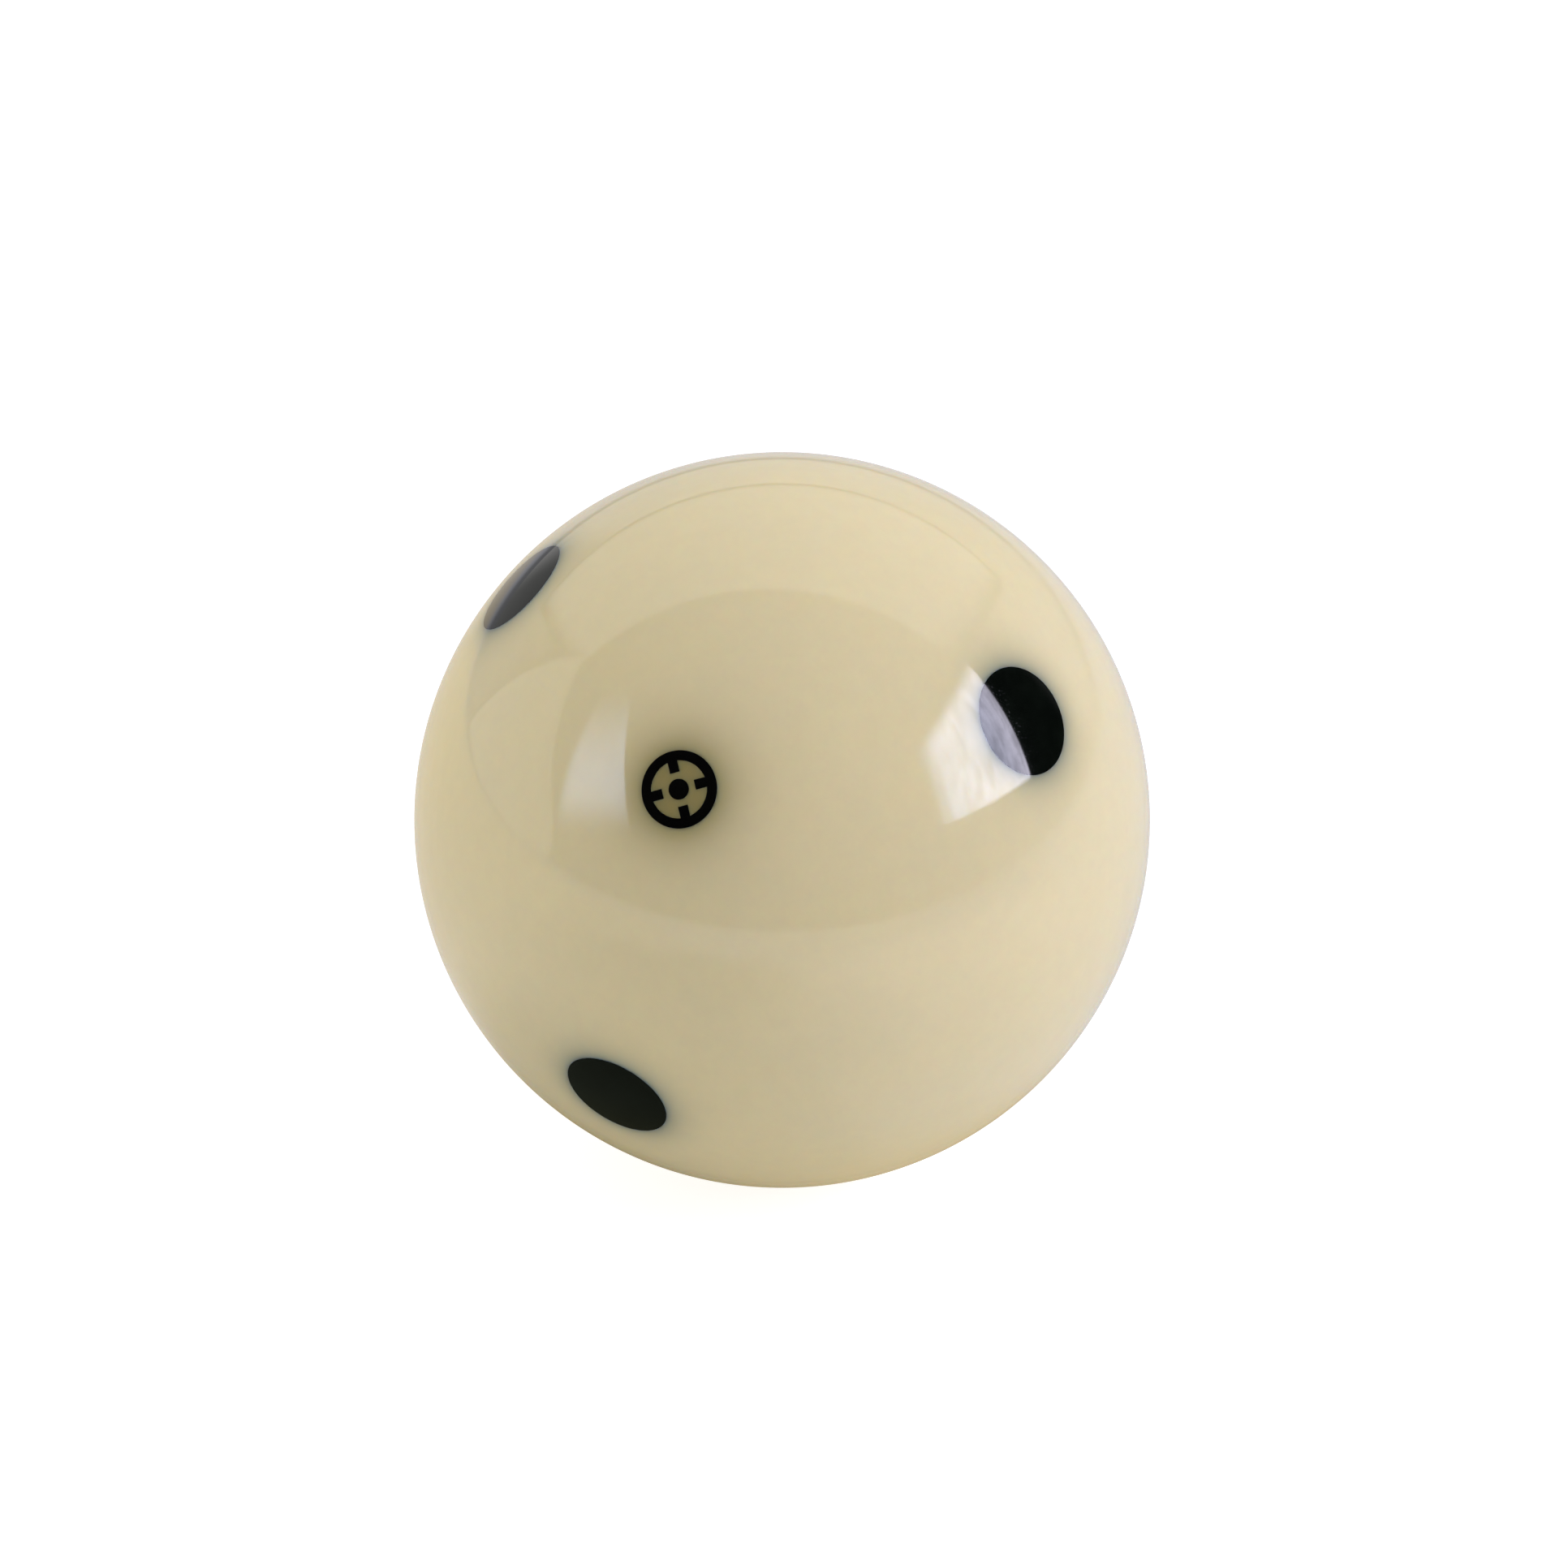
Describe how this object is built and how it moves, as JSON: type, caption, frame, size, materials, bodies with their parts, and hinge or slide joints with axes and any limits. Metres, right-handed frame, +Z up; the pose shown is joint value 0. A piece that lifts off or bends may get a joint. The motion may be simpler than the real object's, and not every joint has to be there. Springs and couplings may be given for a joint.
{
  "type": "cue ball",
  "caption": "Ivory-coloured resin cue ball with six round black spot plugs in three opposite pairs and a small black ring-and-dot aiming mark, all let in flush.",
  "frame": {"origin": "centre of the ball", "axes": "+Z up from the flat bed that the ball rests on; the mark faces -Y, 18 degrees towards -X and 33.5 degrees above the equator; plugs 1 to 3 surround the mark and plugs 4 to 6 lie opposite them, with plugs 2 and 5 set about 4 degrees off true"},
  "size_m": [0.0572, 0.0572, 0.0572],
  "materials": {
    "ivory_resin": "polished cast phenolic resin, warm ivory, slightly translucent",
    "spot_resin": "polished cast phenolic resin, black",
    "mark_resin": "polished cast phenolic resin, black, ground flush"
  },
  "bodies": {
    "root": {"ball_body": "ivory_resin", "spot_plug_1": "spot_resin", "spot_plug_2": "spot_resin", "spot_plug_3": "spot_resin", "spot_plug_4": "spot_resin", "spot_plug_5": "spot_resin", "spot_plug_6": "spot_resin", "mark_ring": "mark_resin", "mark_dot": "mark_resin"}
  },
  "joints": []
}
